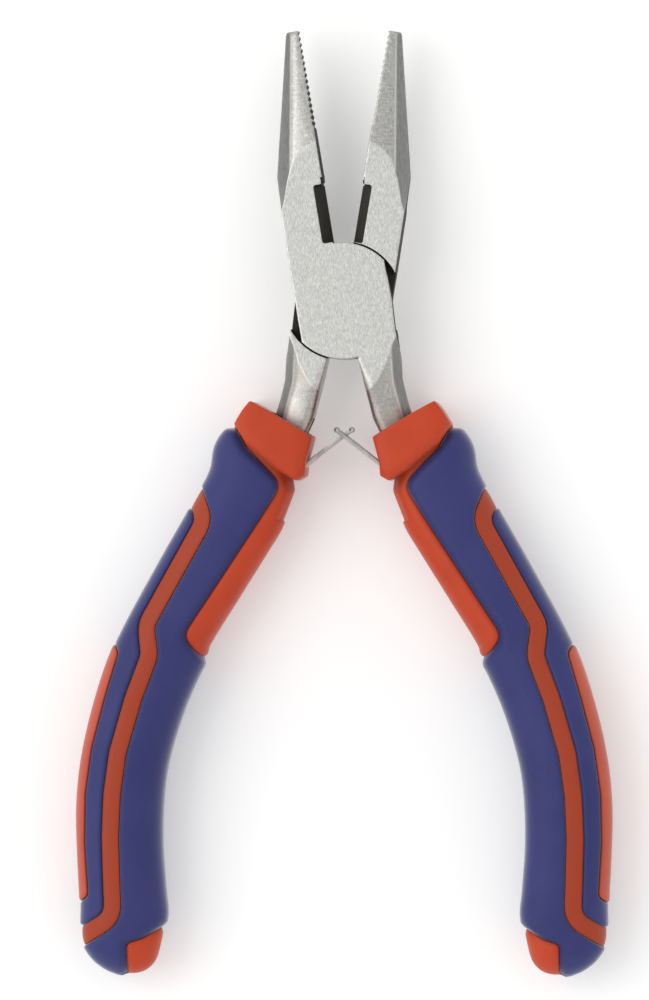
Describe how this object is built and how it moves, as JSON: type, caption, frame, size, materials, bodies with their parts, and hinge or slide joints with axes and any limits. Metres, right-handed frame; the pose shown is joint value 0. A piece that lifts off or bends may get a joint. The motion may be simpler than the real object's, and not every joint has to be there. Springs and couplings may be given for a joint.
{
  "type": "needle nose pliers",
  "caption": "Small needle nose pliers with side cutters, a lap joint, crossing return leaf springs and red and blue curved handle grips, resting open.",
  "frame": {"origin": "the joint's axis where it meets the joint's back face, on the rivet's flush head", "axes": "+Y towards the jaw tips, +Z along the joint's axis out of the front face, +X to the right seen from the front"},
  "size_m": [0.0686, 0.121, 0.0114],
  "materials": {
    "steel": "satin ground forging with blackened unground hollows",
    "rivet_steel": "satin ground",
    "spring_steel": "bright rolled strip",
    "red_core": "moulded, satin",
    "blue_overmould": "moulded soft elastomer, fine matte grain"
  },
  "bodies": {
    "rear_half": {"lever_rear": "steel", "rivet": "rivet_steel", "spring_rear": "spring_steel", "core_rear": "red_core", "overmould_rear": "blue_overmould", "pad_rear": "blue_overmould"},
    "front_half": {"lever_front": "steel", "spring_front": "spring_steel", "core_front": "red_core", "overmould_front": "blue_overmould", "pad_front": "blue_overmould"}
  },
  "joints": [
    {"name": "squeeze", "type": "hinge", "parent": "rear_half", "child": "front_half", "pos_m": [0, 0, 0.0038], "axis": [0, 0, -1], "range_deg": [0, 18.7], "stiffness_Nm_per_rad": 1, "springref_deg": -2.86, "deforming": ["spring_front", "spring_rear"]}
  ]
}
